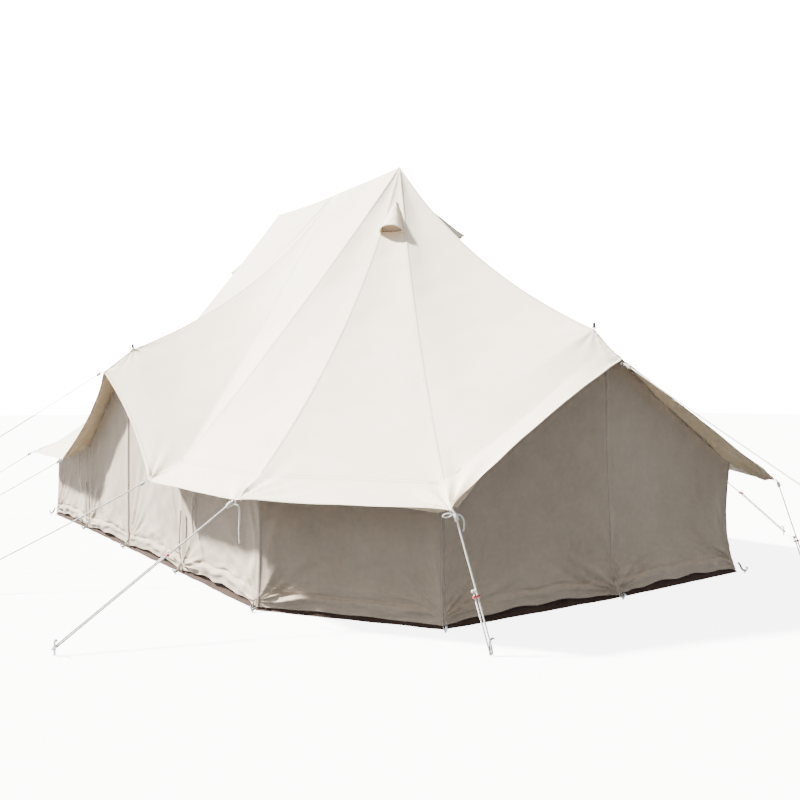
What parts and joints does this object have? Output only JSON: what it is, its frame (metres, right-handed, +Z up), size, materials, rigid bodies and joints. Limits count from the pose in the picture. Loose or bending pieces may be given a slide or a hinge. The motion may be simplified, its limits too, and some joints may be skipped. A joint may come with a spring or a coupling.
{
  "type": "bell tent",
  "caption": "Canvas bell tent with two centre poles, a short ridge, pointed awnings over its doors and ends, low walls, groundsheet, vent hoods and guy lines.",
  "frame": {"origin": "on the ground, at the middle of the tent", "axes": "+X along the ridge to the right-hand end, -Y to the front door, +Z up"},
  "size_m": [11.3118, 8.1518, 3],
  "materials": {
    "roof_canvas": "matt cotton canvas",
    "wall_canvas": "matt cotton canvas",
    "groundsheet_vinyl": "woven polyethylene",
    "pole_steel": "galvanised",
    "peg_steel": "dark zinc plated",
    "rope": "braided polyester",
    "runner_plastic": "moulded",
    "zip": "coated zinc"
  },
  "bodies": {
    "tent": {"centre_pole_lower_left": "pole_steel", "centre_pole_lower_right": "pole_steel", "centre_pole_upper_left": "pole_steel", "centre_pole_upper_right": "pole_steel", "door_frame_back_hinged_leg": "pole_steel", "door_frame_back_plain_leg": "pole_steel", "door_frame_front_hinged_leg": "pole_steel", "door_frame_front_plain_leg": "pole_steel", "end_frame_left_hinged_leg": "pole_steel", "end_frame_left_plain_leg": "pole_steel", "end_frame_right_hinged_leg": "pole_steel", "end_frame_right_plain_leg": "pole_steel", "end_wall_left": "wall_canvas", "end_wall_right": "wall_canvas", "groundsheet": "groundsheet_vinyl", "guy_peg_door_tip_front": "peg_steel", "guy_peg_end_corner_front_right": "peg_steel", "guy_peg_end_tip_right": "peg_steel", "guy_peg_shoulder_front_right": "peg_steel", "guy_rope_door_corner_back_left": "rope", "guy_rope_door_corner_back_right": "rope", "guy_rope_door_corner_front_left": "rope", "guy_rope_door_corner_front_right": "rope", "guy_rope_door_tip_back": "rope", "guy_rope_door_tip_front": "rope", "guy_rope_end_corner_back_left": "rope", "guy_rope_end_corner_back_right": "rope", "guy_rope_end_corner_front_left": "rope", "guy_rope_end_corner_front_right": "rope", "guy_rope_end_tip_left": "rope", "guy_rope_end_tip_right": "rope", "guy_rope_shoulder_back_left": "rope", "guy_rope_shoulder_back_right": "rope", "guy_rope_shoulder_front_left": "rope", "guy_rope_shoulder_front_right": "rope", "ridge_pole": "pole_steel", "roof_back_left": "roof_canvas", "roof_back_right": "roof_canvas", "roof_front_left": "roof_canvas", "roof_front_right": "roof_canvas", "rope_tail_end_corner": "rope", "rope_tail_shoulder": "rope", "vent_hood_back_left": "roof_canvas", "vent_hood_back_right": "roof_canvas", "vent_hood_front_left": "roof_canvas", "vent_hood_front_right": "roof_canvas", "wall_back_left": "wall_canvas", "wall_back_right": "wall_canvas", "wall_front_left": "wall_canvas", "wall_front_right": "wall_canvas"},
    "door_flap_front_right": {"door_flap_front_right": "wall_canvas"},
    "door_flap_front_left": {"door_flap_front_left": "wall_canvas"},
    "door_flap_back_right": {"door_flap_back_right": "wall_canvas"},
    "door_flap_back_left": {"door_flap_back_left": "wall_canvas"},
    "zip_slider_front": {"zip_slider_front": "zip"},
    "zip_slider_back": {"zip_slider_back": "zip"},
    "guy_runner_shoulder_front_right": {"guy_runner_shoulder_front_right": "runner_plastic"},
    "guy_runner_end_corner_front_right": {"guy_runner_end_corner_front_right": "runner_plastic"},
    "guy_runner_end_tip_right": {"guy_runner_end_tip_right": "runner_plastic"},
    "guy_runner_door_tip_front": {"guy_runner_door_tip_front": "runner_plastic"}
  },
  "joints": [
    {"name": "door_flap_front_right_fold", "type": "hinge", "parent": "tent", "child": "door_flap_front_right", "pos_m": [1.1, -1.819, 0.01], "axis": [-0.6164, 0, 0.7875], "range_deg": [0, 80]},
    {"name": "door_flap_front_left_fold", "type": "hinge", "parent": "tent", "child": "door_flap_front_left", "pos_m": [-1.1, -1.819, 0.01], "axis": [-0.6164, 0, -0.7875], "range_deg": [0, 80]},
    {"name": "door_flap_back_right_fold", "type": "hinge", "parent": "tent", "child": "door_flap_back_right", "pos_m": [1.1, 1.819, 0.01], "axis": [0.6164, 0, -0.7875], "range_deg": [0, 80]},
    {"name": "door_flap_back_left_fold", "type": "hinge", "parent": "tent", "child": "door_flap_back_left", "pos_m": [-1.1, 1.819, 0.01], "axis": [0.6164, 0, 0.7875], "range_deg": [0, 80]},
    {"name": "zip_front_slide", "type": "slide", "parent": "door_flap_front_right", "child": "zip_slider_front", "axis": [0, 0, 1], "range_m": [0, 1.2]},
    {"name": "zip_back_slide", "type": "slide", "parent": "door_flap_back_right", "child": "zip_slider_back", "axis": [0, 0, 1], "range_m": [0, 1.2]},
    {"name": "guy_runner_shoulder_front_right_slide", "type": "slide", "parent": "tent", "child": "guy_runner_shoulder_front_right", "axis": [0.0838, -0.8319, -0.5486], "range_m": [0, 0.58]},
    {"name": "guy_runner_end_corner_front_right_slide", "type": "slide", "parent": "tent", "child": "guy_runner_end_corner_front_right", "axis": [0.3681, 0.0405, -0.9289], "range_m": [0, 0.17]},
    {"name": "guy_runner_end_tip_right_slide", "type": "slide", "parent": "tent", "child": "guy_runner_end_tip_right", "axis": [0.8691, 0, -0.4947], "range_m": [0, 0.44]},
    {"name": "guy_runner_door_tip_front_slide", "type": "slide", "parent": "tent", "child": "guy_runner_door_tip_front", "axis": [0, -0.838, -0.5457], "range_m": [0, 0.44]}
  ]
}
